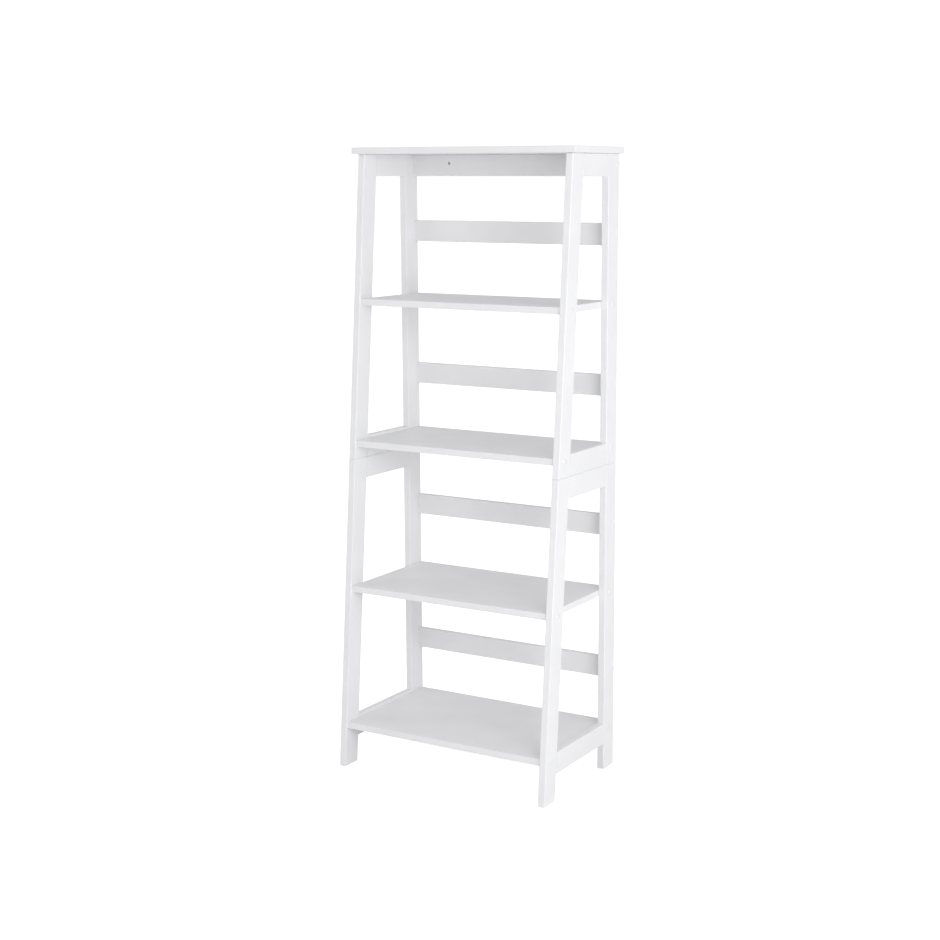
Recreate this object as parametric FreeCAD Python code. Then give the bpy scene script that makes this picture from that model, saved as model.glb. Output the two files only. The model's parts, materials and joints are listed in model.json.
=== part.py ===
import FreeCAD, Part

import math
import os

from FreeCAD import Placement, Rotation, Vector

# A free-standing ladder shelf in painted board. Two side frames are stacked on each side. Each has an
# upright rear leg, a front leg that leans back towards the top, a top rail and a bottom rail. Four
# shelves, four rear rails, an apron and an overhanging top panel join the sides.
#
# Millimetres. X runs to the right as one faces the shelf, Y to the rear and Z up. The origin lies on the
# floor under the middle of the whole object.

os.makedirs("parts", exist_ok=True)

# Overall sizes
overall_width = 600.0            # across the top panel
base_depth = 350.0               # rear face of the legs to the toe of the front feet
head_depth = 225.0               # the same depth right under the top panel
lower_frame_height = 756.0       # floor to the joint between the stacked frames
upper_frame_height = 722.0       # that joint to the underside of the top panel

# Board sections
top_thickness = 15.0
shelf_thickness = 16.0
frame_thickness = 18.0
leg_width = 52.0
rail_height = 51.5
rear_rail_thickness = 15.0

# Overhangs of the top panel past the side frames
side_overhang = 11.5
front_overhang = 12.0
rear_overhang = 3.0

# Levels. A frame's datum is the bottom edge of its bottom rail.
foot_height = 65.0               # floor to the lower frame's datum
rail_lip = 6.0                   # side rail's top edge above the shelf beside it
middle_shelf_rise = 383.5        # datum to the surface of the shelf that has no side rail
low_rail_clearance = 112.0       # a railed shelf's surface to the rear rail above it
high_rail_clearance = 128.0      # a middle shelf's surface to the rear rail above it
shelf_setback = 5.0              # front face of the leg to the shelf's front edge, at mid thickness

# Eased edges
leg_edge_radius = 2.0
shelf_edge_radius = 1.5
end_chamfer = 0.8                # round the cut ends of the legs

# Wall fixing holes in the apron
wall_hole_diameter = 8.0
wall_hole_inset = 102.5          # inner face of the side frame to the hole
wall_hole_drop = 21.0            # upper edge of the apron to the hole

# Shelf screws: countersunk connecting screws driven through the legs into the shelf ends
shelf_screw_length = 50.0
shelf_screw_head = 10.0
shelf_screw_shoulder = 7.0
shelf_screw_thread = 6.4
shelf_cap_diameter = 14.0
shelf_cap_rise = 2.2

# Rail screws: the same kind in a smaller size, one at each end of a rear rail and of the apron
rail_screw_length = 50.0
rail_screw_head = 8.0
rail_screw_shoulder = 5.0
rail_screw_thread = 4.4
rail_cap_diameter = 11.0
rail_cap_rise = 1.8

# Details that both kinds of screw and cap share
head_rim = 0.8                   # straight rim of the head, before its cone
socket_width = 4.0               # across the flats of the hexagon socket
socket_depth = 3.0
cap_rim = 0.8                    # straight edge of a cover cap, before its dome
cap_dome_steps = 4               # conical bands that make up the dome
cap_stem_length = 2.5
screw_tip_length = 3.0

# Hidden screws, driven upwards from counterbores in the undersides of the top rails
panel_screw_length = 32.0
panel_screw_grip = 22.0          # wood of the rail left under the top panel
joint_screw_length = 50.0
joint_screw_grip = 25.0          # wood of the lower frame's rail left under the joint
hidden_screw_head = 9.0
hidden_screw_head_height = 3.0
hidden_screw_shank = 5.0
counterbore_diameter = 11.0
hidden_screw_inset = 40.0        # end of the rail to the screw's axis

# Dowels
frame_dowel_diameter = 8.0
frame_dowel_length = 30.0
frame_dowel_spread = 26.0        # between the two dowels of one joint
rail_dowel_diameter = 6.0
rail_dowel_length = 30.0
rail_dowel_depth_in_leg = 10.0
rail_dowel_drop = 16.0           # below the rail's screw
stacking_dowel_length = 40.0
top_dowel_length = 30.0
top_dowel_depth_in_panel = 9.0
dowel_chamfer = 1.0
hole_end_gap = 1.0               # left at the bottom of a screw's or dowel's hole

hole_clearance = 0.1             # round every screw and dowel, on the radius
cut_overrun = 1.0                # how far a cutting tool starts outside a board

# Values that follow from the sizes above
leg_height = lower_frame_height + upper_frame_height
outer_x = overall_width / 2 - side_overhang
inner_x = outer_x - frame_thickness
middle_x = outer_x - frame_thickness / 2
rear_y = (base_depth - rear_overhang) / 2
lean = (base_depth - head_depth) / leg_height
front_leg_run = leg_width * math.sqrt(1 + lean * lean)
rear_rail_y = rear_y - rear_rail_thickness / 2
rear_leg_y = rear_y - leg_width / 2
datums = {"lower": foot_height, "upper": lower_frame_height}
frame_spans = {"lower": (0.0, lower_frame_height), "upper": (lower_frame_height, leg_height)}
sides = {"left": -1, "right": 1}
railed_shelf_rise = rail_height - rail_lip


def front_y(z):
    """Front face of the leaning legs at height z."""
    return rear_y - base_depth + lean * z


def front_leg_y(z):
    """Middle of the leaning legs at height z."""
    return front_y(z) + front_leg_run / 2


def front_leg_back_y(z):
    """Rear face of the leaning legs at height z."""
    return front_y(z) + front_leg_run


def shelf_levels():
    """Surface height of each shelf, numbered from the top down."""
    return {
        1: datums["upper"] + middle_shelf_rise,
        2: datums["upper"] + railed_shelf_rise,
        3: datums["lower"] + middle_shelf_rise,
        4: datums["lower"] + railed_shelf_rise,
    }


def rear_rail_levels():
    """Bottom edge of each rear rail; rail n stands over shelf n."""
    levels = {}
    for number, surface in shelf_levels().items():
        middle_shelf = number in (1, 3)
        levels[number] = surface + (high_rail_clearance if middle_shelf else low_rail_clearance)
    return levels


def apron_level():
    """Bottom edge of the apron, which hangs right under the top panel."""
    return leg_height - rail_height


# Shape helpers


def prism(outline, x_low, x_high):
    """Extrude a closed outline of (y, z) points from x_low to x_high."""
    points = [Vector(x_low, y, z) for y, z in outline]
    wire = Part.makePolygon(points + points[:1])
    return Part.Face(wire).extrude(Vector(x_high - x_low, 0, 0))


def edges_along(shape, direction):
    """Straight edges of a shape that run parallel to a direction."""
    found = []
    for edge in shape.Edges:
        run = edge.Vertexes[-1].Point.sub(edge.Vertexes[0].Point)
        if run.cross(direction).Length < 1e-6 * run.Length * direction.Length:
            found.append(edge)
    return found


def ease_along(shape, direction, radius):
    """Round the long arrises of a board."""
    return shape.makeFillet(radius, edges_along(shape, direction))


def chamfer_level_ends(shape):
    """Take the sharp edge off a leg's two level ends."""
    levels = (shape.BoundBox.ZMin, shape.BoundBox.ZMax)
    ends = []
    for edge in shape.Edges:
        box = edge.BoundBox
        if box.ZLength < 1e-4 and min(abs(box.ZMin - level) for level in levels) < 1e-4:
            ends.append(edge)
    return shape.makeChamfer(end_chamfer, ends)


def turned(profile, base, direction):
    """Turn a profile of (distance along the axis, radius) points, then place it on an axis."""
    points = [Vector(radius, 0, along) for along, radius in profile]
    wire = Part.makePolygon(points + points[:1])
    solid = Part.Face(wire).revolve(Vector(0, 0, 0), Vector(0, 0, 1), 360)
    return placed(solid, base, direction)


def placed(shape, base, direction):
    """Move a shape that is built along +Z from the origin onto another axis."""
    shape.Placement = Placement(base, Rotation(Vector(0, 0, 1), direction))
    return shape


def drill(diameter, depth, base, direction):
    """A hole's cylinder, wider than what goes in it by the clearance."""
    return Part.makeCylinder(diameter / 2 + hole_clearance, depth, base, direction)


def drilled(board, tools):
    """Cut the holes that reach into a board."""
    box = board.BoundBox
    return board.cut([tool for tool in tools if box.intersect(tool.BoundBox)])


# Screws, caps and dowels, each built along its own axis


def connecting_screw(length, head, shoulder, thread, base, direction):
    """Countersunk screw with a hexagon socket; its head is flush at base."""
    cone_end = head_rim + (head - shoulder) / 2
    profile = [
        (0, 0),
        (0, head / 2),
        (head_rim, head / 2),
        (cone_end, shoulder / 2),
        (frame_thickness, shoulder / 2),
        (frame_thickness, thread / 2),
        (length - screw_tip_length, thread / 2),
        (length, 0),
    ]
    corners = []
    for step in range(6):
        angle = math.radians(60 * step)
        reach = socket_width / math.sqrt(3)
        corners.append(Vector(reach * math.cos(angle), reach * math.sin(angle), 0))
    socket = Part.Face(Part.makePolygon(corners + corners[:1])).extrude(Vector(0, 0, socket_depth))
    return turned(profile, base, direction).cut(placed(socket, base, direction))


def connecting_screw_hole(length, head, shoulder, thread, base, direction):
    """Countersunk hole through the leg and its pilot hole in the board behind."""
    wide = hole_clearance
    cone_end = head_rim + (head - shoulder) / 2
    profile = [
        (0, 0),
        (0, head / 2 + wide),
        (head_rim, head / 2 + wide),
        (cone_end, shoulder / 2 + wide),
        (frame_thickness, shoulder / 2 + wide),
        (frame_thickness, thread / 2 + wide),
        (length + hole_end_gap, thread / 2 + wide),
        (length + hole_end_gap, 0),
    ]
    return turned(profile, base, direction)


def cover_cap(diameter, rise, base, direction):
    """Domed cap that lies on the leg and plugs into the screw's socket."""
    dome_rise = rise - cap_rim
    dome_radius = ((diameter / 2) ** 2 + dome_rise ** 2) / (2 * dome_rise)
    stem_radius = socket_width / 2 - hole_clearance
    profile = [(-cap_stem_length, 0), (-cap_stem_length, stem_radius), (0, stem_radius), (0, diameter / 2)]
    for step in range(cap_dome_steps + 1):
        radius = diameter / 2 * (1 - step / cap_dome_steps)
        drop = dome_radius - math.sqrt(dome_radius ** 2 - radius ** 2)
        profile.append((rise - drop, radius))
    return turned(profile, base, direction)


def dowel(diameter, length, base, direction):
    """Wooden dowel with chamfered ends, from base along direction."""
    profile = [
        (0, 0),
        (0, diameter / 2 - dowel_chamfer),
        (dowel_chamfer, diameter / 2),
        (length - dowel_chamfer, diameter / 2),
        (length, diameter / 2 - dowel_chamfer),
        (length, 0),
    ]
    return turned(profile, base, direction)


def dowel_hole(diameter, length, base, direction):
    """Blind holes for a dowel in the two boards that it joins."""
    start = base.sub(direction * hole_end_gap)
    return drill(diameter, length + 2 * hole_end_gap, start, direction)


def hidden_screw(length, base):
    """Pan-head wood screw that points up, its head's bearing face at base."""
    profile = [
        (-hidden_screw_head_height, 0),
        (-hidden_screw_head_height, hidden_screw_head / 2 - dowel_chamfer),
        (-hidden_screw_head_height + dowel_chamfer, hidden_screw_head / 2),
        (0, hidden_screw_head / 2),
        (0, hidden_screw_shank / 2),
        (length - screw_tip_length, hidden_screw_shank / 2),
        (length, 0),
    ]
    return turned(profile, base, Vector(0, 0, 1))


def hidden_screw_hole(length, rail_bottom, base):
    """Counterbore from the rail's underside and the hole for the screw above it."""
    up = Vector(0, 0, 1)
    mouth = Vector(base.x, base.y, rail_bottom - cut_overrun)
    counterbore = Part.makeCylinder(counterbore_diameter / 2, base.z - mouth.z, mouth, up)
    return counterbore.fuse(drill(hidden_screw_shank, length + hole_end_gap, base, up))


# Places of the fasteners: each entry is a base point and a direction


def shelf_screw_places():
    """One screw through every leg into every shelf end, at the shelf's mid thickness."""
    places = []
    for surface in shelf_levels().values():
        z = surface - shelf_thickness / 2
        for side in sides.values():
            for y in (rear_leg_y, front_leg_y(z)):
                places.append((Vector(side * outer_x, y, z), Vector(-side, 0, 0)))
    return places


def rear_board_middles():
    """Mid height of each rear rail and of the apron."""
    bottoms = list(rear_rail_levels().values()) + [apron_level()]
    return [bottom + rail_height / 2 for bottom in bottoms]


def rail_screw_places():
    """One screw through the rear leg into each end of a rear rail and of the apron."""
    places = []
    for z in rear_board_middles():
        for side in sides.values():
            places.append((Vector(side * outer_x, rear_rail_y, z), Vector(-side, 0, 0)))
    return places


def rail_dowel_places():
    """One dowel under each rail screw, from inside the leg into the rail's end."""
    places = []
    for z in rear_board_middles():
        for side in sides.values():
            start = Vector(side * (inner_x + rail_dowel_depth_in_leg), rear_rail_y, z - rail_dowel_drop)
            places.append((start, Vector(-side, 0, 0)))
    return places


def side_rail_levels():
    """Bottom edge of the bottom rail and of the top rail of each frame."""
    levels = {}
    for level, (_, top) in frame_spans.items():
        levels[level] = {"bottom": datums[level], "top": top - rail_height}
    return levels


def frame_dowel_places():
    """Two dowels at each end of every side rail, half in the leg and half in the rail."""
    places = []
    for rails in side_rail_levels().values():
        for bottom in rails.values():
            for side in sides.values():
                for offset in (-frame_dowel_spread / 2, frame_dowel_spread / 2):
                    z = bottom + rail_height / 2 + offset
                    for joint_y in (rear_y - leg_width, front_leg_back_y(z)):
                        start = Vector(side * middle_x, joint_y - frame_dowel_length / 2, z)
                        places.append((start, Vector(0, 1, 0)))
    return places


def leg_end_places(z, depth_below):
    """A point in the middle of every leg, depth_below under the level z."""
    places = []
    for side in sides.values():
        for y in (rear_leg_y, front_leg_y(z)):
            places.append((Vector(side * middle_x, y, z - depth_below), Vector(0, 0, 1)))
    return places


def stacking_dowel_places():
    """One dowel in each leg, half in the lower frame and half in the upper one."""
    return leg_end_places(lower_frame_height, stacking_dowel_length / 2)


def top_dowel_places():
    """One dowel in the head of each leg, a short way into the top panel."""
    return leg_end_places(leg_height, top_dowel_length - top_dowel_depth_in_panel)


def hidden_screw_places(rail_top, grip):
    """Two upright screws in a top rail whose upper edge is at rail_top, at the depth of their grip."""
    places = []
    for side in sides.values():
        rear_end = rear_y - leg_width
        front_end = front_leg_back_y(rail_top)
        for y in (rear_end - hidden_screw_inset, front_end + hidden_screw_inset):
            places.append(Vector(side * middle_x, y, rail_top - grip))
    return places


def all_holes():
    """Every fastener's hole; each board takes the ones that reach into it."""
    holes = []
    for place in shelf_screw_places():
        sizes = (shelf_screw_length, shelf_screw_head, shelf_screw_shoulder, shelf_screw_thread)
        holes.append(connecting_screw_hole(*sizes, *place))
    for place in rail_screw_places():
        sizes = (rail_screw_length, rail_screw_head, rail_screw_shoulder, rail_screw_thread)
        holes.append(connecting_screw_hole(*sizes, *place))
    for place in rail_dowel_places():
        holes.append(dowel_hole(rail_dowel_diameter, rail_dowel_length, *place))
    for place in frame_dowel_places():
        holes.append(dowel_hole(frame_dowel_diameter, frame_dowel_length, *place))
    for place in stacking_dowel_places():
        holes.append(dowel_hole(frame_dowel_diameter, stacking_dowel_length, *place))
    for place in top_dowel_places():
        holes.append(dowel_hole(frame_dowel_diameter, top_dowel_length, *place))
    for rail_top, length, grip in (
        (leg_height, panel_screw_length, panel_screw_grip),
        (lower_frame_height, joint_screw_length, joint_screw_grip),
    ):
        for base in hidden_screw_places(rail_top, grip):
            holes.append(hidden_screw_hole(length, rail_top - rail_height, base))
    return holes


# Boards


def rear_leg(side, level):
    """Upright leg, rounded along its length."""
    bottom, top = frame_spans[level]
    outline = [
        (rear_y - leg_width, bottom),
        (rear_y, bottom),
        (rear_y, top),
        (rear_y - leg_width, top),
    ]
    return leg(outline, side, Vector(0, 0, 1))


def front_leg(side, level):
    """Leaning leg with level ends."""
    bottom, top = frame_spans[level]
    outline = [
        (front_y(bottom), bottom),
        (front_leg_back_y(bottom), bottom),
        (front_leg_back_y(top), top),
        (front_y(top), top),
    ]
    return leg(outline, side, Vector(0, lean, 1))


def leg(outline, side, direction):
    """A leg of the frame's thickness on one side, from its outline."""
    x_low, x_high = sorted((side * inner_x, side * outer_x))
    board = chamfer_level_ends(prism(outline, x_low, x_high))
    return ease_along(board, direction, leg_edge_radius)


def side_rail(side, bottom):
    """Rail between a rear leg and a front leg, its front end cut to the leg's lean."""
    top = bottom + rail_height
    outline = [
        (front_leg_back_y(bottom), bottom),
        (rear_y - leg_width, bottom),
        (rear_y - leg_width, top),
        (front_leg_back_y(top), top),
    ]
    x_low, x_high = sorted((side * inner_x, side * outer_x))
    return ease_along(prism(outline, x_low, x_high), Vector(0, 1, 0), leg_edge_radius)


def cross_board(front, rear, bottom, top, radius):
    """Board that fits between the side frames, rounded along its length."""
    outline = [(front, bottom), (rear, bottom), (rear, top), (front, top)]
    return ease_along(prism(outline, -inner_x, inner_x), Vector(1, 0, 0), radius)


def shelf(surface):
    """Shelf whose surface is at this height; the deeper the frame there, the deeper the shelf."""
    bottom = surface - shelf_thickness
    front = front_y(surface - shelf_thickness / 2) + shelf_setback
    return cross_board(front, rear_y, bottom, surface, shelf_edge_radius)


def rear_rail(bottom):
    """Rail between the rear legs, flush with their rear faces."""
    return cross_board(rear_y - rear_rail_thickness, rear_y, bottom, bottom + rail_height, leg_edge_radius)


def apron():
    """Rear rail under the top panel, with two holes for wall screws."""
    board = rear_rail(apron_level())
    z = leg_height - wall_hole_drop
    depth = rear_rail_thickness + 2 * cut_overrun
    tools = []
    for side in sides.values():
        base = Vector(side * (inner_x - wall_hole_inset), rear_y + cut_overrun, z)
        tools.append(Part.makeCylinder(wall_hole_diameter / 2, depth, base, Vector(0, -1, 0)))
    return board.cut(tools)


def top_panel():
    """Panel that covers both side frames and stands over them at the front, sides and rear."""
    front = front_y(leg_height) - front_overhang
    depth = rear_y + rear_overhang - front
    corner = Vector(-overall_width / 2, front, leg_height)
    panel = Part.makeBox(overall_width, depth, top_thickness, corner)
    return panel.makeFillet(shelf_edge_radius, panel.Edges)


# Export


def save(name, shape):
    """Write one node."""
    shape.exportStep(f"parts/{name}.step")


def save_group(name, solids):
    """Write like fasteners as one node of separate solids."""
    save(name, Part.Compound(solids))


def save_boards(holes):
    """Write every wooden board with its holes."""
    save("top_panel", drilled(top_panel(), holes))
    save("rear_apron", drilled(apron(), holes))
    for number, surface in shelf_levels().items():
        save(f"shelf_{number}", drilled(shelf(surface), holes))
    for number, bottom in rear_rail_levels().items():
        save(f"rear_rail_{number}", drilled(rear_rail(bottom), holes))
    for side_name, side in sides.items():
        for level, rails in side_rail_levels().items():
            frame_name = f"{side_name}_{level}"
            save(f"{frame_name}_rear_leg", drilled(rear_leg(side, level), holes))
            save(f"{frame_name}_front_leg", drilled(front_leg(side, level), holes))
            for rail_name, bottom in rails.items():
                save(f"{frame_name}_{rail_name}_rail", drilled(side_rail(side, bottom), holes))


def save_fasteners():
    """Write the screws, caps and dowels."""
    shelf_sizes = (shelf_screw_length, shelf_screw_head, shelf_screw_shoulder, shelf_screw_thread)
    rail_sizes = (rail_screw_length, rail_screw_head, rail_screw_shoulder, rail_screw_thread)
    shelf_places = shelf_screw_places()
    rail_places = rail_screw_places()
    save_group("shelf_screws", [connecting_screw(*shelf_sizes, *place) for place in shelf_places])
    save_group("rail_screws", [connecting_screw(*rail_sizes, *place) for place in rail_places])
    shelf_cap_sizes = (shelf_cap_diameter, shelf_cap_rise)
    rail_cap_sizes = (rail_cap_diameter, rail_cap_rise)
    shelf_caps = [cover_cap(*shelf_cap_sizes, base, inwards * -1) for base, inwards in shelf_places]
    rail_caps = [cover_cap(*rail_cap_sizes, base, inwards * -1) for base, inwards in rail_places]
    save_group("shelf_screw_caps", shelf_caps)
    save_group("rail_screw_caps", rail_caps)
    for name, diameter, length, places in (
        ("rail_dowels", rail_dowel_diameter, rail_dowel_length, rail_dowel_places()),
        ("frame_dowels", frame_dowel_diameter, frame_dowel_length, frame_dowel_places()),
        ("stacking_dowels", frame_dowel_diameter, stacking_dowel_length, stacking_dowel_places()),
        ("top_dowels", frame_dowel_diameter, top_dowel_length, top_dowel_places()),
    ):
        save_group(name, [dowel(diameter, length, *place) for place in places])
    panel_places = hidden_screw_places(leg_height, panel_screw_grip)
    joint_places = hidden_screw_places(lower_frame_height, joint_screw_grip)
    save_group("top_panel_screws", [hidden_screw(panel_screw_length, base) for base in panel_places])
    save_group("frame_joint_screws", [hidden_screw(joint_screw_length, base) for base in joint_places])


save_boards(all_holes())
save_fasteners()
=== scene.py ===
"""Ladder shelf in white lacquered board: a top panel and four shelves between stacked ladder frames.

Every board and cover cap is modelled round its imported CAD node, which gives its size and place. Lengths
are in metres. The origin is on the floor under the middle of the shelf, with +X to its right, +Y to its
rear and +Z up. The screws and dowels keep their CAD shapes and get their finishes here.
"""

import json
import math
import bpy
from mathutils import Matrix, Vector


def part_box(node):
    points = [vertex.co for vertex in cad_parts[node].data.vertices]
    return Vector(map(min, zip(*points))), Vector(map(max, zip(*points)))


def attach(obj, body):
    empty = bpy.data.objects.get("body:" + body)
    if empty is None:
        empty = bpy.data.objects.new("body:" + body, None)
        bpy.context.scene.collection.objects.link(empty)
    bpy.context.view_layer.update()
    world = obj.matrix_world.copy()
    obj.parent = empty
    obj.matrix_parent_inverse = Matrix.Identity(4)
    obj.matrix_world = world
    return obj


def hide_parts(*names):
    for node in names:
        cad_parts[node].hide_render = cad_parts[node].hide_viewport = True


bl_info = {
    "name": "Ladder Shelf",
    "version": (1, 0, 0),
    "blender": (4, 5, 0),
    "location": "3D View > Sidebar > Ladder Shelf",
    "description": "Builds a white lacquered ladder shelf around its CAD frame",
    "category": "Object",
}

import bmesh
import bpy
from mathutils import Vector

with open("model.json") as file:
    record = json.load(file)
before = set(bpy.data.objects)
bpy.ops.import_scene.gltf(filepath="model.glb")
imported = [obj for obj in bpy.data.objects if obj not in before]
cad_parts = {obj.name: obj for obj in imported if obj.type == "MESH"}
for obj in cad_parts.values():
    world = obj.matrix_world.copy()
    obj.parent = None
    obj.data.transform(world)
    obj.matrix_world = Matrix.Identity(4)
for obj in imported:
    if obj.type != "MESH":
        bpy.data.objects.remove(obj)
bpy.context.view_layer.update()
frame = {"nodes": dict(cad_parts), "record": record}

MM = 0.001
SIDES = {"left": -1, "right": 1}
LEVELS = ("lower", "upper")
# Shelves and rear rails, numbered from the top down
NUMBERS = range(1, 5)
BOARD_SLOT = "painted_board"
CAP_SLOT = "cover_cap"

# How closely two directions or two places must agree to count as the same
SAME_DIRECTION = 0.999
SAME_PLACE = 0.05 * MM

# How far a cutting tool starts outside a board
CUT_OVERRUN = 5 * MM

# Facets round a full circle, and round a small broken edge
CIRCLE_STEPS = 48
BREAK_STEPS = 2

# The range that most values of a noise texture lie in, for a Map Range node
NOISE_RANGE = {"From Min": 0.3, "From Max": 0.7}

# Numbers of a Mix node's colour sockets, which share their names with its other sockets
FIRST_COLOUR = 6
SECOND_COLOUR = 7
MIXED_COLOUR = 2

AXIS_X = Vector((1, 0, 0))
AXIS_Y = Vector((0, 1, 0))
AXIS_Z = Vector((0, 0, 1))


def linear(code):
    """Linear RGBA of an sRGB hex colour."""
    channels = [int(code[i:i + 2], 16) / 255 for i in (0, 2, 4)]
    return tuple(c / 12.92 if c <= 0.04045 else ((c + 0.055) / 1.055) ** 2.4 for c in channels) + (1.0,)


def mount(name):
    """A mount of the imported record."""
    return next(m for m in frame["record"]["mounts"] if m["name"] == name)


# Settings that a user would change


class LadderShelfFinish(bpy.types.PropertyGroup):
    """Colours and surface of the lacquer, caps and fasteners."""

    lacquer: bpy.props.FloatVectorProperty(
        name="Lacquer", description="Colour of the lacquered boards",
        subtype="COLOR", size=4, min=0, max=1, default=linear("EDEDEF"),
    )
    lacquer_thin: bpy.props.FloatVectorProperty(
        name="Lacquer, thinner", description="Colour where the film is thinner",
        subtype="COLOR", size=4, min=0, max=1, default=linear("EAEAEC"),
    )
    lacquer_roughness: bpy.props.FloatProperty(
        name="Lacquer roughness", description="Higher is duller; satin lacquer is about 0.4",
        subtype="FACTOR", min=0, max=1, default=0.36,
    )
    peel_spacing: bpy.props.FloatProperty(
        name="Orange peel spacing", description="Distance between the ripples of the sprayed film",
        unit="LENGTH", subtype="DISTANCE", min=0.5 * MM, default=4 * MM,
    )
    peel_height: bpy.props.FloatProperty(
        name="Orange peel height", description="Height of those ripples",
        unit="LENGTH", subtype="DISTANCE", min=0, default=0.012 * MM,
    )
    cap: bpy.props.FloatVectorProperty(
        name="Cover caps", description="Colour of the moulded cover caps",
        subtype="COLOR", size=4, min=0, max=1, default=linear("E9E9EC"),
    )
    zinc: bpy.props.FloatVectorProperty(
        name="Zinc plating", description="Colour of the plated screws",
        subtype="COLOR", size=4, min=0, max=1, default=linear("C9CDD3"),
    )
    beech: bpy.props.FloatVectorProperty(
        name="Beech", description="Colour of the dowels",
        subtype="COLOR", size=4, min=0, max=1, default=linear("D8B68C"),
    )
    beech_grain: bpy.props.FloatVectorProperty(
        name="Beech grain", description="Colour of the dowels' darker grain",
        subtype="COLOR", size=4, min=0, max=1, default=linear("B98F62"),
    )


class LadderShelfShapes(bpy.types.PropertyGroup):
    """Arrises and small features that the boards and caps get on top of their CAD size."""

    leg_arris: bpy.props.FloatProperty(
        name="Leg and rail arris", description="Radius of the long edges of legs and rails",
        unit="LENGTH", subtype="DISTANCE", min=0, default=2 * MM,
    )
    shelf_arris: bpy.props.FloatProperty(
        name="Shelf arris", description="Radius of the edges of shelves and top panel",
        unit="LENGTH", subtype="DISTANCE", min=0, default=1.5 * MM,
    )
    leg_end_chamfer: bpy.props.FloatProperty(
        name="Leg end chamfer", description="Chamfer round the ends of the legs",
        unit="LENGTH", subtype="DISTANCE", min=0, default=0.8 * MM,
    )
    leg_end_relief: bpy.props.FloatProperty(
        name="Leg end relief", description="How far the rim of a leg's end stands back from its middle",
        unit="LENGTH", subtype="DISTANCE", min=0, default=0.18 * MM,
    )
    leg_end_relief_width: bpy.props.FloatProperty(
        name="Leg end relief width", description="Width of that rim",
        unit="LENGTH", subtype="DISTANCE", min=0, default=2.5 * MM,
    )
    rail_end_break: bpy.props.FloatProperty(
        name="Rail end break", description="Rounded edge round the ends of the side frames' rails",
        unit="LENGTH", subtype="DISTANCE", min=0, default=0.8 * MM,
    )
    board_end_break: bpy.props.FloatProperty(
        name="Board end break", description="Sanded edge round the ends of shelves and rails",
        unit="LENGTH", subtype="DISTANCE", min=0, default=0.4 * MM,
    )
    hole_rim: bpy.props.FloatProperty(
        name="Hole rim", description="Countersunk rim of the wall holes and counterbores",
        unit="LENGTH", subtype="DISTANCE", min=0, default=0.4 * MM,
    )
    arris_steps: bpy.props.IntProperty(
        name="Arris steps", description="Facets round each arris", min=1, max=8, default=4,
    )
    cap_rim: bpy.props.FloatProperty(
        name="Cap rim", description="Height of a cap's upright rim",
        unit="LENGTH", subtype="DISTANCE", min=0, default=0.6 * MM,
    )
    cap_stem: bpy.props.FloatProperty(
        name="Cap stem", description="Length of the stem that plugs into the screw's socket",
        unit="LENGTH", subtype="DISTANCE", min=0, default=2.5 * MM,
    )
    cap_stem_width: bpy.props.FloatProperty(
        name="Cap stem width", description="Diameter of that stem",
        unit="LENGTH", subtype="DISTANCE", min=0, default=3.8 * MM,
    )
    screw_head_height: bpy.props.FloatProperty(
        name="Screw head", description="Height of the head of a screw under the top rails",
        unit="LENGTH", subtype="DISTANCE", min=0, default=3 * MM,
    )
    counterbore: bpy.props.FloatProperty(
        name="Counterbore", description="Diameter of the holes that those heads sit in",
        unit="LENGTH", subtype="DISTANCE", min=0, default=11 * MM,
    )


class LadderShelfStage(bpy.types.PropertyGroup):
    """Floor, light and camera."""

    floor: bpy.props.FloatVectorProperty(
        name="Floor", description="Colour of the studio floor",
        subtype="COLOR", size=4, min=0, max=1, default=linear("F7F7F7"),
    )
    floor_width: bpy.props.FloatProperty(
        name="Floor width", description="Width of the floor",
        unit="LENGTH", subtype="DISTANCE", min=1, default=60,
    )
    backdrop_glow: bpy.props.FloatProperty(
        name="Backdrop glow", description="How much brighter the floor looks than its own light makes it",
        min=0, default=0.65,
    )
    horizon_light: bpy.props.FloatProperty(
        name="Horizon light", description="Strength of the surrounding light at eye level",
        min=0, default=0.6,
    )
    zenith_light: bpy.props.FloatProperty(
        name="Zenith light", description="Strength of the surrounding light overhead",
        min=0, default=0.68,
    )
    key_power: bpy.props.FloatProperty(
        name="Key light", description="Power of the softbox to the right of the front",
        unit="POWER", min=0, default=38.5,
    )
    side_power: bpy.props.FloatProperty(
        name="Side light", description="Power of the softbox to the right",
        unit="POWER", min=0, default=10.5,
    )
    fill_power: bpy.props.FloatProperty(
        name="Fill light", description="Power of the softbox to the left",
        unit="POWER", min=0, default=17.5,
    )
    camera_place: bpy.props.FloatVectorProperty(
        name="Camera place", description="Where the camera stands",
        unit="LENGTH", subtype="TRANSLATION", size=3, default=(2.0643, -3.3621, 1.4299),
    )
    camera_pan: bpy.props.FloatProperty(
        name="Camera pan", description="How far the camera is turned to its left from looking straight back",
        unit="ROTATION", subtype="ANGLE", default=math.radians(29.869),
    )
    camera_tilt: bpy.props.FloatProperty(
        name="Camera tilt", description="How far the camera looks down",
        unit="ROTATION", subtype="ANGLE", default=math.radians(10.548),
    )
    camera_lens: bpy.props.FloatProperty(
        name="Camera lens", description="Focal length in millimetres on a 36 mm sensor",
        unit="CAMERA", min=1, default=64.22,
    )
    camera_shift: bpy.props.FloatVectorProperty(
        name="Camera shift", description="Sideways and upward shift of the lens, in sensor widths",
        size=2, default=(-0.0572, 0.0181),
    )


# Nodes and materials


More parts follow.
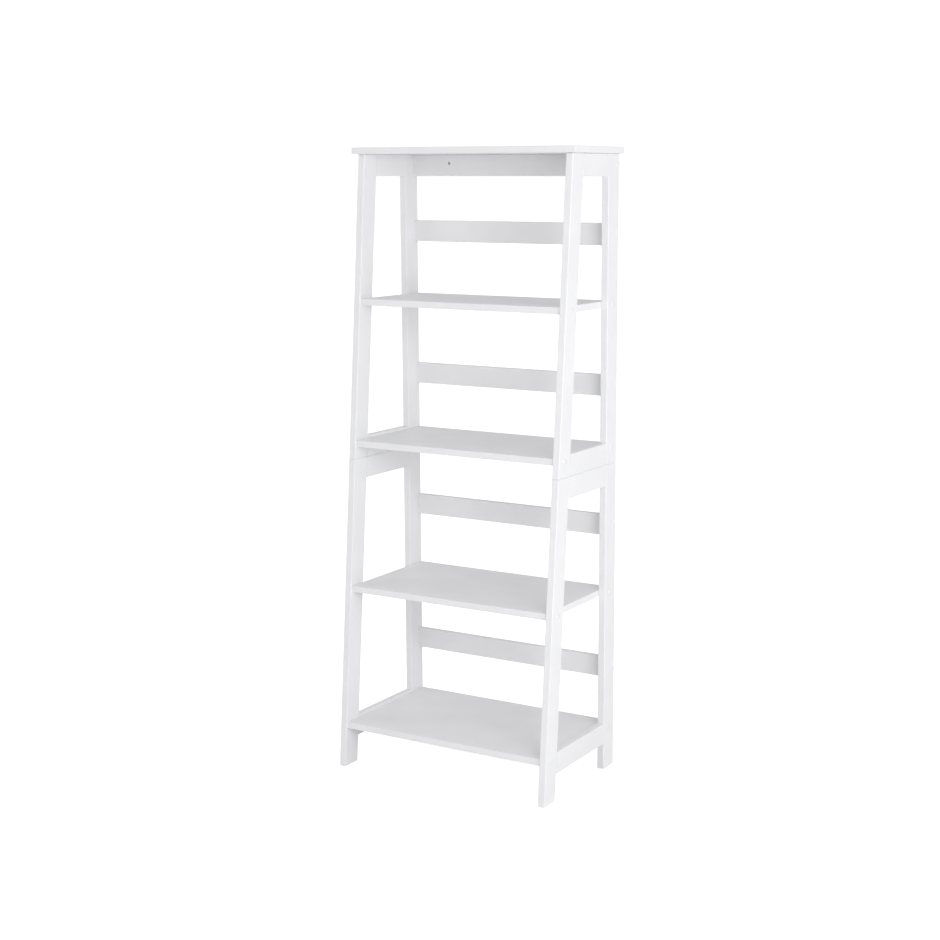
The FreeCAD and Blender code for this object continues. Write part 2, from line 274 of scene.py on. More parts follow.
def add_node(tree, kind, settings=None, inputs=None):
    """Adds a node with its settings, and with inputs that are values or other nodes' outputs."""
    node = tree.nodes.new(kind)
    for name, value in (settings or {}).items():
        setattr(node, name, value)
    for name, value in (inputs or {}).items():
        if isinstance(value, bpy.types.NodeSocket):
            tree.links.new(value, node.inputs[name])
        else:
            node.inputs[name].default_value = value
    return node


def new_material(name):
    """An empty node material, its node tree, and its Object coordinates."""
    material = bpy.data.materials.new(name)
    material.use_nodes = True
    tree = material.node_tree
    tree.nodes.clear()
    return material, tree, add_node(tree, "ShaderNodeTexCoord").outputs["Object"]


def dimmed(colour, share):
    """A colour at a share of its brightness."""
    return tuple(share * channel for channel in colour[:3]) + (1.0,)


def lacquered_fibreboard():
    """White polyurethane lacquer, sprayed on fibreboard and left satin.

    The eye gets an even cool white with a soft, slightly broken reflection: the film is a little thicker
    in some places, ripples as orange peel, and is duller on the cut edges, where the board drinks it.
    """
    name = "satin_white_lacquer_on_fibreboard"
    if name in bpy.data.materials:
        return bpy.data.materials[name]
    finish = bpy.context.scene.ladder_shelf_finish
    film_spacing = 90 * MM
    film_dulling = 0.03
    edge_dulling = 0.1
    fibre_spacing = 1.2 * MM
    fibre_height = 0.02 * MM
    material, tree, place = new_material(name)
    film = add_node(tree, "ShaderNodeTexNoise", inputs={"Vector": place, "Scale": 1 / film_spacing})
    thinness = add_node(tree, "ShaderNodeMapRange", inputs={"Value": film.outputs["Fac"], **NOISE_RANGE})
    colour = add_node(tree, "ShaderNodeMix", {"data_type": "RGBA"}, {
        "Factor": thinness.outputs["Result"],
        FIRST_COLOUR: finish.lacquer,
        SECOND_COLOUR: finish.lacquer_thin,
    })
    on_faces = add_node(tree, "ShaderNodeMapRange", inputs={
        "Value": film.outputs["Fac"],
        "To Min": finish.lacquer_roughness - film_dulling,
        "To Max": finish.lacquer_roughness + film_dulling,
        **NOISE_RANGE,
    })
    cut_edge = add_node(tree, "ShaderNodeAttribute", {"attribute_name": "cut_edge"})
    roughness = add_node(tree, "ShaderNodeMath", {"operation": "MULTIPLY_ADD"}, {
        0: cut_edge.outputs["Fac"],
        1: edge_dulling,
        2: on_faces.outputs["Result"],
    })
    # Real orange peel is 1 to 3 mm apart, and is drawn a little coarser so that it shows
    peel = add_node(tree, "ShaderNodeTexNoise", inputs={
        "Vector": place,
        "Scale": 1 / finish.peel_spacing,
        "Detail": 1.0,
    })
    rippled = add_node(tree, "ShaderNodeBump", inputs={
        "Height": peel.outputs["Fac"],
        "Distance": finish.peel_height,
    })
    fibre = add_node(tree, "ShaderNodeTexNoise", inputs={"Vector": place, "Scale": 1 / fibre_spacing})
    fibrous = add_node(tree, "ShaderNodeBump", inputs={
        "Strength": cut_edge.outputs["Fac"],
        "Height": fibre.outputs["Fac"],
        "Distance": fibre_height,
        "Normal": rippled.outputs["Normal"],
    })
    shader = add_node(tree, "ShaderNodeBsdfPrincipled", inputs={
        "Base Color": colour.outputs[MIXED_COLOUR],
        "Roughness": roughness.outputs["Value"],
        "Normal": fibrous.outputs["Normal"],
    })
    add_node(tree, "ShaderNodeOutputMaterial", inputs={"Surface": shader.outputs["BSDF"]})
    return material


def moulded_polyethylene():
    """White polyethylene, moulded with a fine spark-eroded grain: a softer, waxier white than the lacquer."""
    name = "moulded_white_polyethylene"
    if name in bpy.data.materials:
        return bpy.data.materials[name]
    finish = bpy.context.scene.ladder_shelf_finish
    flow_spacing = 6 * MM
    flow_shade = 0.97
    grain_spacing = 0.5 * MM
    grain_height = 0.01 * MM
    material, tree, place = new_material(name)
    flow = add_node(tree, "ShaderNodeTexNoise", inputs={"Vector": place, "Scale": 1 / flow_spacing})
    colour = add_node(tree, "ShaderNodeMix", {"data_type": "RGBA"}, {
        "Factor": flow.outputs["Fac"],
        FIRST_COLOUR: finish.cap,
        SECOND_COLOUR: dimmed(finish.cap, flow_shade),
    })
    roughness = add_node(tree, "ShaderNodeMapRange", inputs={
        "Value": flow.outputs["Fac"],
        "To Min": 0.54,
        "To Max": 0.62,
        **NOISE_RANGE,
    })
    grain = add_node(tree, "ShaderNodeTexNoise", inputs={
        "Vector": place,
        "Scale": 1 / grain_spacing,
        "Detail": 1.0,
    })
    grainy = add_node(tree, "ShaderNodeBump", inputs={
        "Height": grain.outputs["Fac"],
        "Distance": grain_height,
    })
    shader = add_node(tree, "ShaderNodeBsdfPrincipled", inputs={
        "Base Color": colour.outputs[MIXED_COLOUR],
        "Roughness": roughness.outputs["Result"],
        "Normal": grainy.outputs["Normal"],
    })
    add_node(tree, "ShaderNodeOutputMaterial", inputs={"Surface": shader.outputs["BSDF"]})
    return material


def bright_zinc():
    """Bright zinc plating on steel, barrel plated: a bluish metal with fine scuffs from the barrel."""
    name = "bright_zinc_plated_steel"
    if name in bpy.data.materials:
        return bpy.data.materials[name]
    finish = bpy.context.scene.ladder_shelf_finish
    cloud_spacing = 4 * MM
    cloud_shade = 0.8
    scuff_spacing = 0.6 * MM
    scuff_height = 0.01 * MM
    material, tree, place = new_material(name)
    cloud = add_node(tree, "ShaderNodeTexNoise", inputs={"Vector": place, "Scale": 1 / cloud_spacing})
    colour = add_node(tree, "ShaderNodeMix", {"data_type": "RGBA"}, {
        "Factor": cloud.outputs["Fac"],
        FIRST_COLOUR: finish.zinc,
        SECOND_COLOUR: dimmed(finish.zinc, cloud_shade),
    })
    roughness = add_node(tree, "ShaderNodeMapRange", inputs={
        "Value": cloud.outputs["Fac"],
        "To Min": 0.24,
        "To Max": 0.38,
        **NOISE_RANGE,
    })
    scuffs = add_node(tree, "ShaderNodeTexNoise", inputs={
        "Vector": place,
        "Scale": 1 / scuff_spacing,
        "Detail": 3.0,
    })
    scuffed = add_node(tree, "ShaderNodeBump", inputs={
        "Height": scuffs.outputs["Fac"],
        "Distance": scuff_height,
    })
    shader = add_node(tree, "ShaderNodeBsdfPrincipled", inputs={
        "Base Color": colour.outputs[MIXED_COLOUR],
        "Metallic": 1.0,
        "Roughness": roughness.outputs["Result"],
        "Normal": scuffed.outputs["Normal"],
    })
    add_node(tree, "ShaderNodeOutputMaterial", inputs={"Surface": shader.outputs["BSDF"]})
    return material


def turned_beech(direction):
    """Beech dowel: pale tan with short, fine, darker grain along its length, sanded and unfinished."""
    name = "sanded_beech_" + direction
    if name in bpy.data.materials:
        return bpy.data.materials[name]
    finish = bpy.context.scene.ladder_shelf_finish
    grain_width = 0.5 * MM
    grain_stretch = 0.1
    pore_depth = 0.02 * MM
    material, tree, place = new_material(name)
    stretch = [grain_stretch if axis == direction else 1.0 for axis in "xyz"]
    along = add_node(tree, "ShaderNodeMapping", inputs={"Vector": place, "Scale": stretch})
    grain = add_node(tree, "ShaderNodeTexNoise", inputs={
        "Vector": along.outputs["Vector"],
        "Scale": 1 / grain_width,
        "Detail": 4.0,
    })
    darkness = add_node(tree, "ShaderNodeMapRange", inputs={"Value": grain.outputs["Fac"], **NOISE_RANGE})
    colour = add_node(tree, "ShaderNodeMix", {"data_type": "RGBA"}, {
        "Factor": darkness.outputs["Result"],
        FIRST_COLOUR: finish.beech,
        SECOND_COLOUR: finish.beech_grain,
    })
    roughness = add_node(tree, "ShaderNodeMapRange", inputs={
        "Value": grain.outputs["Fac"],
        "To Min": 0.55,
        "To Max": 0.7,
        **NOISE_RANGE,
    })
    pores = add_node(tree, "ShaderNodeBump", {"invert": True}, {
        "Height": grain.outputs["Fac"],
        "Distance": pore_depth,
    })
    shader = add_node(tree, "ShaderNodeBsdfPrincipled", inputs={
        "Base Color": colour.outputs[MIXED_COLOUR],
        "Roughness": roughness.outputs["Result"],
        "Normal": pores.outputs["Normal"],
    })
    add_node(tree, "ShaderNodeOutputMaterial", inputs={"Surface": shader.outputs["BSDF"]})
    return material


def studio_paper():
    """Matt white background paper: the eye sees it washed out by its own light, as in a white studio."""
    stage = bpy.context.scene.ladder_shelf_stage
    cloud_spacing = 60 * MM
    cloud_shade = 0.99
    material, tree, place = new_material("matt_white_background_paper")
    cloud = add_node(tree, "ShaderNodeTexNoise", inputs={"Vector": place, "Scale": 1 / cloud_spacing})
    colour = add_node(tree, "ShaderNodeMix", {"data_type": "RGBA"}, {
        "Factor": cloud.outputs["Fac"],
        FIRST_COLOUR: stage.floor,
        SECOND_COLOUR: dimmed(stage.floor, cloud_shade),
    })
    paper = add_node(tree, "ShaderNodeBsdfPrincipled", inputs={
        "Base Color": colour.outputs[MIXED_COLOUR],
        "Roughness": 0.9,
        "Specular IOR Level": 0.1,
    })
    glow = add_node(tree, "ShaderNodeEmission", inputs={"Strength": stage.backdrop_glow})
    glowing = add_node(tree, "ShaderNodeAddShader", inputs={
        0: paper.outputs["BSDF"],
        1: glow.outputs["Emission"],
    })
    # The glow is only seen, and lights nothing
    light_path = add_node(tree, "ShaderNodeLightPath")
    chosen = add_node(tree, "ShaderNodeMixShader", inputs={
        "Fac": light_path.outputs["Is Camera Ray"],
        1: paper.outputs["BSDF"],
        2: glowing.outputs["Shader"],
    })
    add_node(tree, "ShaderNodeOutputMaterial", inputs={"Surface": chosen.outputs["Shader"]})
    return material


# Modelling by hand


def start_block(name, low, high):
    """Starts a board as a block between two corners, open for editing, with nothing else selected."""
    bpy.ops.object.select_all(action="DESELECT")
    bpy.ops.mesh.primitive_cube_add(size=1, location=(low + high) / 2, scale=high - low)
    block = bpy.context.object
    block.name = name
    block.data.name = name
    bpy.ops.object.transform_apply(location=True, rotation=True, scale=True)
    bpy.ops.object.mode_set(mode="EDIT")
    return block


def choose(piece, kind, test):
    """In edit mode, selects the vertices, edges or faces that pass a test, and no others."""
    bpy.ops.mesh.select_mode(type=kind)
    bpy.ops.mesh.select_all(action="DESELECT")
    shape = bmesh.from_edit_mesh(piece.data)
    parts = {"VERT": shape.verts, "EDGE": shape.edges, "FACE": shape.faces}[kind]
    for part in parts:
        if test(part):
            part.select_set(True)
    shape.select_flush_mode()
    bmesh.update_edit_mesh(piece.data)


def runs_along(direction):
    """Test for the edges that run along a direction."""

    def test(edge):
        start, end = (v.co for v in edge.verts)
        return abs((end - start).normalized().dot(direction)) > SAME_DIRECTION

    return test


def lies_at(axis, places):
    """Test for the edges that lie at one of these places along an axis, 0 to 2 for X to Z."""

    def test(edge):
        start, end = (v.co[axis] for v in edge.verts)
        return any(abs(start - p) < SAME_PLACE and abs(end - p) < SAME_PLACE for p in places)

    return test


def round_off(piece, test, radius, steps):
    """Rounds the edges that pass a test."""
    choose(piece, "EDGE", test)
    bpy.ops.mesh.bevel(offset_type="OFFSET", offset=radius, segments=steps, profile=0.5, affect="EDGES")


def lean_back(piece, test, distance):
    """Moves the vertices that pass a test to the rear."""
    choose(piece, "VERT", test)
    bpy.ops.transform.translate(value=(0, distance, 0))


def drill(piece, base, top, radius, rims):
    """Cuts a round hole from base to top, which are both on one axis, and eases it at the given rims."""
    shapes = bpy.context.scene.ladder_shelf_shapes
    axis = max(range(3), key=lambda i: abs(top[i] - base[i]))
    turn = {0: (0, math.pi / 2, 0), 1: (math.pi / 2, 0, 0), 2: (0, 0, 0)}[axis]
    bpy.ops.object.mode_set(mode="OBJECT")
    bpy.ops.object.select_all(action="DESELECT")
    depth = abs(top[axis] - base[axis])
    middle = (base + top) / 2
    bpy.ops.mesh.primitive_cylinder_add(
        vertices=CIRCLE_STEPS, radius=radius, depth=depth, location=middle, rotation=turn
    )
    drill_bit = bpy.context.object
    piece.select_set(True)
    bpy.context.view_layer.objects.active = piece
    cut = piece.modifiers.new("hole", "BOOLEAN")
    cut.operation = "DIFFERENCE"
    cut.solver = "EXACT"
    cut.object = drill_bit
    bpy.ops.object.modifier_apply(modifier=cut.name)
    bpy.data.objects.remove(drill_bit)
    bpy.ops.object.mode_set(mode="EDIT")
    lies_on_rim = lies_at(axis, rims)

    def near_rim(edge):
        off_axis = []
        for vertex in edge.verts:
            away = vertex.co - middle
            away[axis] = 0
            off_axis.append(away.length)
        return lies_on_rim(edge) and all(abs(r - radius) < SAME_PLACE for r in off_axis)

    round_off(piece, near_rim, shapes.hole_rim, BREAK_STEPS)


def mark_cut_edges(board, face_axis):
    """Marks the faces that were cut through the board's thickness, which take the lacquer differently.

    The uncut faces look along face_axis, 0 to 2 for X to Z.
    """
    steepest_flat = math.cos(math.radians(45))
    marks = board.data.attributes.new("cut_edge", "FLOAT", "FACE")
    for face, mark in zip(board.data.polygons, marks.data):
        mark.value = 0.0 if abs(face.normal[face_axis]) > steepest_flat else 1.0


def finish_piece(piece, material, slot, *nodes):
    """Shades the arrises smooth and the flats flat, and hands the piece over in place of its CAD nodes."""
    smooth_angle = math.radians(40)
    bpy.ops.object.shade_smooth_by_angle(angle=smooth_angle)
    flats = piece.modifiers.new("flats", "WEIGHTED_NORMAL")
    flats.keep_sharp = True
    bpy.ops.object.modifier_apply(modifier=flats.name)
    piece.data.materials.append(material)
    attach(piece, "root")
    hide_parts(*nodes)


def finish_board(board, face_axis, node):
    """Finishes a lacquered board."""
    bpy.ops.object.mode_set(mode="OBJECT")
    mark_cut_edges(board, face_axis)
    finish_piece(board, lacquered_fibreboard(), BOARD_SLOT, node)


# Places that follow from the frame


def lean():
    """How far the front legs lean to the rear for each metre of height."""
    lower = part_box("right_lower_front_leg")[0]
    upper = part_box("right_upper_front_leg")[0]
    return (upper.y - lower.y) / (upper.z - lower.z)


def front_leg_middle(z):
    """Middle of a front leg's width at a height."""
    low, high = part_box("right_lower_front_leg")
    run = high.y - low.y - lean() * (high.z - low.z)
    return low.y + lean() * (z - low.z) + run / 2


def middle(node):
    """Middle of a CAD node's box."""
    low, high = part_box(node)
    return (low + high) / 2


def build_cross_board(node, arris):
    """Board that spans the side frames: rounded along its length, and just broken at its ends."""
    shapes = bpy.context.scene.ladder_shelf_shapes
    low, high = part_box(node)
    board = start_block("white_" + node, low, high)
    round_off(board, runs_along(AXIS_X), arris, shapes.arris_steps)
    round_off(board, lies_at(0, (low.x, high.x)), shapes.board_end_break, BREAK_STEPS)
    return board


def start_leg(node, set_back):
    """Leg whose top stands this far behind its foot, and whose ends bear on their middles only.

    The set-back rims of the stacked legs leave the narrow dark line between the frames.
    """
    shapes = bpy.context.scene.ladder_shelf_shapes
    low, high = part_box(node)
    end_relief = AXIS_Z * shapes.leg_end_relief
    foot_high = Vector((high.x, high.y - set_back, high.z))
    leg = start_block("white_" + node, low + end_relief, foot_high - end_relief)
    if set_back:
        mid_height = (low.z + high.z) / 2
        lean_back(leg, lambda vertex: vertex.co.z > mid_height, set_back)
    direction = Vector((0, set_back, high.z - low.z)).normalized()
    round_off(leg, runs_along(direction), shapes.leg_arris, shapes.arris_steps)
    ends = (low.z + end_relief.z, high.z - end_relief.z)
    round_off(leg, lies_at(2, ends), shapes.leg_end_chamfer, 1)
    for way in (-1, 1):
        choose(leg, "FACE", lambda face: face.normal.z * way > SAME_DIRECTION)
        bpy.ops.mesh.inset(thickness=shapes.leg_end_relief_width, depth=shapes.leg_end_relief)
    return leg


# Pieces


class LADDERSHELF_OT_top_panel(bpy.types.Operator):
    """Adds the top panel, eased all round, which lies on both side frames"""

    bl_idname = "ladder_shelf.top_panel"
    bl_label = "Top panel"

    def execute(self, context):
        shapes = context.scene.ladder_shelf_shapes
        low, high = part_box("top_panel")
        panel = start_block("white_top_panel", low, high)
        round_off(panel, lambda edge: True, shapes.shelf_arris, shapes.arris_steps)
        finish_board(panel, 2, "top_panel")
        return {"FINISHED"}


class LADDERSHELF_OT_shelves(bpy.types.Operator):
    """Adds the four shelves, each as deep as the frames at its height"""

    bl_idname = "ladder_shelf.shelves"
    bl_label = "Shelves"

    def execute(self, context):
        shapes = context.scene.ladder_shelf_shapes
        for number in NUMBERS:
            node = f"shelf_{number}"
            finish_board(build_cross_board(node, shapes.shelf_arris), 2, node)
        return {"FINISHED"}


class LADDERSHELF_OT_rear_rails(bpy.types.Operator):
    """Adds the four rails between the rear legs, one over each shelf"""

    bl_idname = "ladder_shelf.rear_rails"
    bl_label = "Rear rails"

    def execute(self, context):
        shapes = context.scene.ladder_shelf_shapes
        for number in NUMBERS:
            node = f"rear_rail_{number}"
            finish_board(build_cross_board(node, shapes.leg_arris), 1, node)
        return {"FINISHED"}


class LADDERSHELF_OT_rear_apron(bpy.types.Operator):
    """Adds the apron under the top panel, with its two holes for wall screws"""

    bl_idname = "ladder_shelf.rear_apron"
    bl_label = "Rear apron"

    def execute(self, context):
        shapes = context.scene.ladder_shelf_shapes
        low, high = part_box("rear_apron")
        apron = build_cross_board("rear_apron", shapes.leg_arris)
        holes = mount("wall_fixing_holes")
        radius = holes["dims"]["hole_r_mm"] * MM
        spacing = holes["dims"]["spacing_x_mm"] * MM
        for side in SIDES.values():
            x = holes["pos_m"][0] + side * spacing / 2
            front = Vector((x, low.y - CUT_OVERRUN, holes["pos_m"][2]))
            rear = Vector((x, high.y + CUT_OVERRUN, holes["pos_m"][2]))
            drill(apron, front, rear, radius, (low.y, high.y))
        finish_board(apron, 1, "rear_apron")
        return {"FINISHED"}


class LADDERSHELF_OT_rear_legs(bpy.types.Operator):
    """Adds the four upright rear legs, rounded along their length and chamfered where they are stacked"""

    bl_idname = "ladder_shelf.rear_legs"
    bl_label = "Rear legs"

    def execute(self, context):
        for side in SIDES:
            for level in LEVELS:
                node = f"{side}_{level}_rear_leg"
                finish_board(start_leg(node, 0.0), 0, node)
        return {"FINISHED"}


class LADDERSHELF_OT_front_legs(bpy.types.Operator):
    """Adds the four front legs, which lean to the rear, with level ends"""

    bl_idname = "ladder_shelf.front_legs"
    bl_label = "Front legs"

    def execute(self, context):
        for side in SIDES:
            for level in LEVELS:
                node = f"{side}_{level}_front_leg"
                low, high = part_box(node)
                finish_board(start_leg(node, lean() * (high.z - low.z)), 0, node)
        return {"FINISHED"}


class LADDERSHELF_OT_side_rails(bpy.types.Operator):
    """Adds the eight rails of the side frames, cut to the front legs' lean; the top ones are counterbored"""

    bl_idname = "ladder_shelf.side_rails"
    bl_label = "Side rails"

    def execute(self, context):
        for side in SIDES:
            for level, screws in zip(LEVELS, ("frame_joint_screws", "top_panel_screws")):
                self.add_rail(context, f"{side}_{level}_bottom_rail", None)
                self.add_rail(context, f"{side}_{level}_top_rail", screws)
        return {"FINISHED"}

    def add_rail(self, context, node, screws):
        shapes = context.scene.ladder_shelf_shapes
        low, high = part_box(node)
        slope = lean()
        rail = start_block("white_" + node, low, high)

        def front_top(vertex):
            return vertex.co.z > high.z - SAME_PLACE and vertex.co.y < low.y + SAME_PLACE

        def at_end(edge):
            fronts = [v.co.y - low.y - slope * (v.co.z - low.z) for v in edge.verts]
            rears = [high.y - v.co.y for v in edge.verts]
            return any(all(abs(away) < SAME_PLACE for away in end) for end in (fronts, rears))

        lean_back(rail, front_top, slope * (high.z - low.z))
        round_off(rail, runs_along(AXIS_Y), shapes.leg_arris, shapes.arris_steps)
        round_off(rail, at_end, shapes.rail_end_break, BREAK_STEPS)
        if screws:
            self.counterbore(shapes, rail, low, high, screws)
        finish_board(rail, 0, node)

    def counterbore(self, shapes, rail, low, high, screws):
        screw_low, screw_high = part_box(screws)
        head_radius = screw_high.x - middle("right_upper_top_rail").x
        x = (low.x + high.x) / 2
        for y in (screw_low.y + head_radius, screw_high.y - head_radius):
            mouth = Vector((x, y, low.z - CUT_OVERRUN))
            seat = Vector((x, y, screw_low.z + shapes.screw_head_height))
            drill(rail, mouth, seat, shapes.counterbore / 2, (low.z,))


# Cover caps


def model_cap(radius, rise):
    """Cap at the origin that faces +X: upright rim, domed face, and a stem behind it."""
    shapes = bpy.context.scene.ladder_shelf_shapes
    dome_steps = 8
    rim_break = 0.25 * MM
    stem_draft = 0.1 * MM
    rim = shapes.cap_rim
    dome_rise = rise - rim
    dome_radius = (radius ** 2 + dome_rise ** 2) / (2 * dome_rise)
    bpy.ops.object.select_all(action="DESELECT")
    facing_x = (0, math.pi / 2, 0)
    bpy.ops.mesh.primitive_cylinder_add(
        vertices=CIRCLE_STEPS, radius=radius, depth=rim, location=(rim / 2, 0, 0), rotation=facing_x
    )
    cap = bpy.context.object
    bpy.ops.object.transform_apply(location=True, rotation=True, scale=True)
    bpy.ops.object.mode_set(mode="EDIT")
    choose(cap, "FACE", lambda face: face.normal.x > SAME_DIRECTION)
    ring = radius / dome_steps
    height = 0.0
    for step in range(1, dome_steps):
        edge = radius * (1 - step / dome_steps)
        drop = dome_radius - math.sqrt(dome_radius ** 2 - edge ** 2)
        bpy.ops.mesh.inset(thickness=ring, depth=dome_rise - drop - height)
        height = dome_rise - drop
    choose(cap, "FACE", lambda face: face.normal.x < -SAME_DIRECTION)
    bpy.ops.mesh.inset(thickness=radius - shapes.cap_stem_width / 2, depth=0)
    bpy.ops.mesh.inset(thickness=stem_draft, depth=shapes.cap_stem)
    round_off(cap, lies_at(0, (rim,)), rim_break, BREAK_STEPS)
    bpy.ops.object.mode_set(mode="OBJECT")
    return cap


def place_cap(master, name, place, side, node):
    """Copies the cap to a leg's outer face, turned to face away from the shelf."""
    bpy.ops.object.select_all(action="DESELECT")
    master.select_set(True)
    bpy.context.view_layer.objects.active = master
    bpy.ops.object.duplicate(linked=False)
    cap = bpy.context.object
    cap.name = name
    cap.data.name = name
    cap.location = place
    cap.rotation_euler.z = 0 if side > 0 else math.pi
    bpy.ops.object.transform_apply(location=True, rotation=True, scale=True)
    finish_piece(cap, moulded_polyethylene(), CAP_SLOT, node)


class LADDERSHELF_OT_shelf_caps(bpy.types.Operator):
    """Adds the sixteen caps over the screws that hold the shelves"""

    bl_idname = "ladder_shelf.shelf_caps"
    bl_label = "Shelf caps"

    def execute(self, context):
        node = "shelf_screw_caps"
        caps_low, caps_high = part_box(node)
        outer_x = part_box("right_lower_rear_leg")[1].x
        radius = middle("shelf_4").z - caps_low.z
        master = model_cap(radius, caps_high.x - outer_x)
        for number in NUMBERS:
            z = middle(f"shelf_{number}").z
            ys = {"front": front_leg_middle(z), "rear": middle("right_lower_rear_leg").y}
            for end, y in ys.items():
                for name, side in SIDES.items():
                    place = Vector((side * outer_x, y, z))
                    place_cap(master, f"cap_shelf_{number}_{name}_{end}", place, side, node)
        bpy.data.objects.remove(master)
        return {"FINISHED"}


class LADDERSHELF_OT_rail_caps(bpy.types.Operator):
    """Adds the ten smaller caps over the screws that hold the rear rails and the apron"""

    bl_idname = "ladder_shelf.rail_caps"
    bl_label = "Rail caps"

    def execute(self, context):
        node = "rail_screw_caps"
        caps_low, caps_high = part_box(node)
        outer_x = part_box("right_lower_rear_leg")[1].x
        radius = middle("rear_rail_4").z - caps_low.z
        master = model_cap(radius, caps_high.x - outer_x)
        for rail in ["rear_apron"] + [f"rear_rail_{number}" for number in NUMBERS]:
            for name, side in SIDES.items():
                place = Vector((side * outer_x, middle(rail).y, middle(rail).z))
                place_cap(master, f"cap_{rail}_{name}", place, side, node)
        bpy.data.objects.remove(master)
        return {"FINISHED"}


# Fasteners, which keep their CAD shapes


def give_material(node, material):
    """Puts a material in every slot of a CAD node."""
    for slot in frame["nodes"][node].material_slots:
        slot.material = material


class LADDERSHELF_OT_fasteners(bpy.types.Operator):
    """Gives the screws their zinc plating and the dowels their beech"""

    bl_idname = "ladder_shelf.fasteners"
    bl_label = "Screws and dowels"

    def execute(self, context):
        for node in ("shelf_screws", "rail_screws", "top_panel_screws", "frame_joint_screws"):
            give_material(node, bright_zinc())
        dowels = {"frame_dowels": "y", "rail_dowels": "x", "stacking_dowels": "z", "top_dowels": "z"}
        for node, direction in dowels.items():
            give_material(node, turned_beech(direction))
        return {"FINISHED"}


# Stage


def add_softbox(name, azimuth, distance, height, width, power):
    """Square soft light round the shelf, at an azimuth in degrees from the front to the right."""
    aim_share = 0.7
    data = bpy.data.lights.new(name, "AREA")
    data.shape = "SQUARE"
    data.size = width
    data.energy = power
    softbox = bpy.data.objects.new(name, data)
    turn = math.radians(azimuth)
    place = Vector((distance * math.sin(turn), -distance * math.cos(turn), height))
    aim = Vector((0, 0, aim_share * height))
    softbox.location = place
    softbox.rotation_euler = (aim - place).to_track_quat("-Z", "Y").to_euler()
    softbox.visible_camera = False
    bpy.context.scene.collection.objects.link(softbox)


def light_surroundings(stage):
    """White studio all round, which looks whiter than the light that it gives."""
    white = (1.0, 1.0, 1.0, 1.0)
    backdrop_strength = 1.05
    # Sines of the elevations between which the horizon's light turns into the zenith's
    turning_start = 0.15
    turning_end = 0.8
    world = bpy.data.worlds.new("white_studio")
    bpy.context.scene.world = world
    world.use_nodes = True
    tree = world.node_tree
    tree.nodes.clear()
    direction = add_node(tree, "ShaderNodeTexCoord").outputs["Generated"]
    height = add_node(tree, "ShaderNodeSeparateXYZ", inputs={"Vector": direction})
    strength = add_node(tree, "ShaderNodeMapRange", {"interpolation_type": "SMOOTHSTEP"}, {
        "Value": height.outputs["Z"],
        "From Min": turning_start,
        "From Max": turning_end,
        "To Min": stage.horizon_light,
        "To Max": stage.zenith_light,
    })
    light = add_node(tree, "ShaderNodeBackground", inputs={
        "Color": white,
        "Strength": strength.outputs["Result"],
    })
    backdrop = add_node(tree, "ShaderNodeBackground", inputs={"Color": white, "Strength": backdrop_strength})
    light_path = add_node(tree, "ShaderNodeLightPath")
    chosen = add_node(tree, "ShaderNodeMixShader", inputs={
        "Fac": light_path.outputs["Is Camera Ray"],
        1: light.outputs["Background"],
        2: backdrop.outputs["Background"],
    })
    add_node(tree, "ShaderNodeOutputWorld", inputs={"Surface": chosen.outputs["Shader"]})


class LADDERSHELF_OT_stage(bpy.types.Operator):
    """Adds the white floor, the soft studio light and the camera"""

    bl_idname = "ladder_shelf.stage"
    bl_label = "Stage"

    def execute(self, context):
        stage = context.scene.ladder_shelf_stage
        bpy.ops.object.select_all(action="DESELECT")
        bpy.ops.mesh.primitive_plane_add(size=stage.floor_width)
        floor = context.object
        floor.name = "studio_floor"
        floor.data.materials.append(studio_paper())
        light_surroundings(stage)
        add_softbox("key_softbox", azimuth=52, distance=3.2, height=1.4, width=1.5, power=stage.key_power)
        add_softbox("side_softbox", azimuth=80, distance=3.2, height=1.4, width=1.5, power=stage.side_power)
        add_softbox("fill_softbox", azimuth=-65, distance=3.8, height=2.4, width=1.5, power=stage.fill_power)
        data = bpy.data.cameras.new("camera")
        data.lens = stage.camera_lens
        data.sensor_width = 36
        data.shift_x, data.shift_y = stage.camera_shift
        camera = bpy.data.objects.new("camera", data)
        camera.location = stage.camera_place
        camera.rotation_euler = (math.pi / 2 - stage.camera_tilt, 0, stage.camera_pan)
        context.scene.collection.objects.link(camera)
        context.scene.camera = camera
        context.scene.view_settings.view_transform = "Standard"
        return {"FINISHED"}


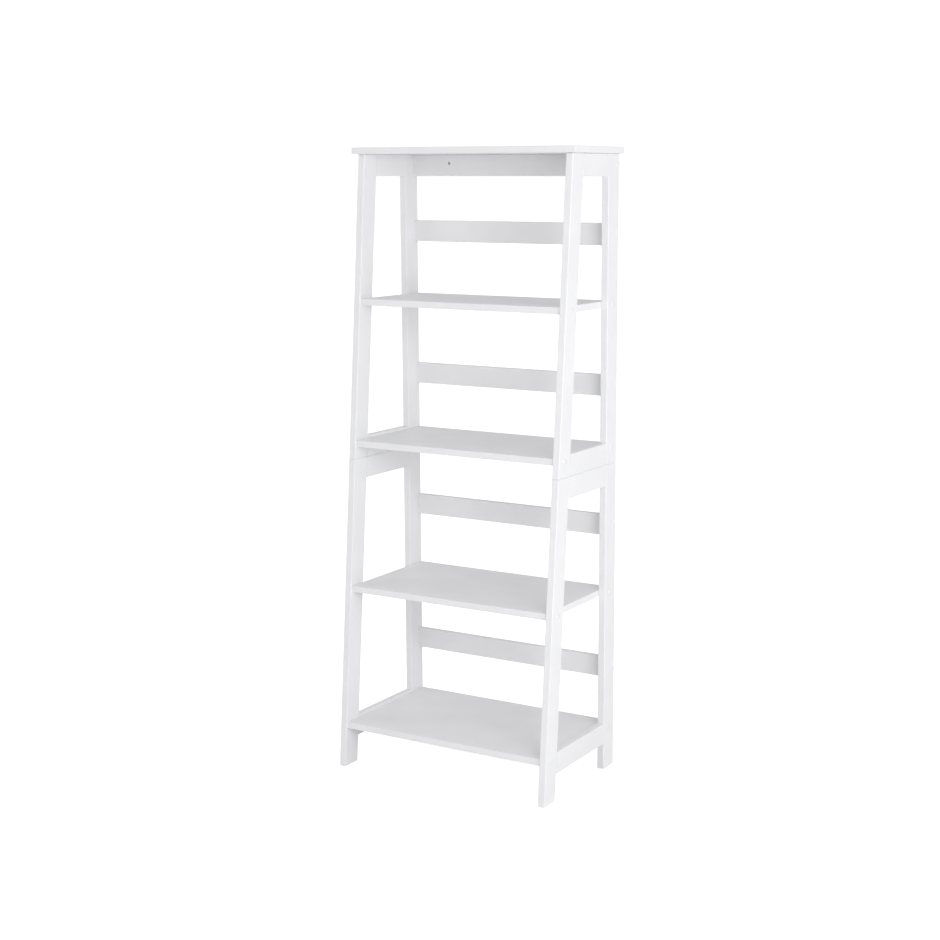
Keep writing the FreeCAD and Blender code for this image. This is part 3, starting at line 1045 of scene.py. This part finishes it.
class LADDERSHELF_PT_panel(bpy.types.Panel):
    """Sizes, colours and buttons of the ladder shelf"""

    bl_idname = "LADDERSHELF_PT_panel"
    bl_label = "Ladder shelf"
    bl_space_type = "VIEW_3D"
    bl_region_type = "UI"
    bl_category = "Ladder Shelf"

    def draw(self, context):
        scene = context.scene
        for settings in (scene.ladder_shelf_finish, scene.ladder_shelf_shapes, scene.ladder_shelf_stage):
            box = self.layout.box()
            for name in settings.__annotations__:
                box.prop(settings, name)
        for operator in OPERATORS:
            self.layout.operator(operator.bl_idname)


SETTINGS = {
    "ladder_shelf_finish": LadderShelfFinish,
    "ladder_shelf_shapes": LadderShelfShapes,
    "ladder_shelf_stage": LadderShelfStage,
}
OPERATORS = (
    LADDERSHELF_OT_top_panel,
    LADDERSHELF_OT_shelves,
    LADDERSHELF_OT_rear_rails,
    LADDERSHELF_OT_rear_apron,
    LADDERSHELF_OT_rear_legs,
    LADDERSHELF_OT_front_legs,
    LADDERSHELF_OT_side_rails,
    LADDERSHELF_OT_shelf_caps,
    LADDERSHELF_OT_rail_caps,
    LADDERSHELF_OT_fasteners,
    LADDERSHELF_OT_stage,
)


def register():
    for name, group in SETTINGS.items():
        bpy.utils.register_class(group)
        setattr(bpy.types.Scene, name, bpy.props.PointerProperty(type=group))
    for operator in OPERATORS:
        bpy.utils.register_class(operator)
    bpy.utils.register_class(LADDERSHELF_PT_panel)


def unregister():
    bpy.utils.unregister_class(LADDERSHELF_PT_panel)
    for operator in reversed(OPERATORS):
        bpy.utils.unregister_class(operator)
    for name, group in reversed(SETTINGS.items()):
        delattr(bpy.types.Scene, name)
        bpy.utils.unregister_class(group)


def main():
    register()
    bpy.ops.ladder_shelf.top_panel()
    bpy.ops.ladder_shelf.shelves()
    bpy.ops.ladder_shelf.rear_rails()
    bpy.ops.ladder_shelf.rear_apron()
    bpy.ops.ladder_shelf.rear_legs()
    bpy.ops.ladder_shelf.front_legs()
    bpy.ops.ladder_shelf.side_rails()
    bpy.ops.ladder_shelf.shelf_caps()
    bpy.ops.ladder_shelf.rail_caps()
    bpy.ops.ladder_shelf.fasteners()
    bpy.ops.ladder_shelf.stage()


if __name__ == "__main__":
    main()
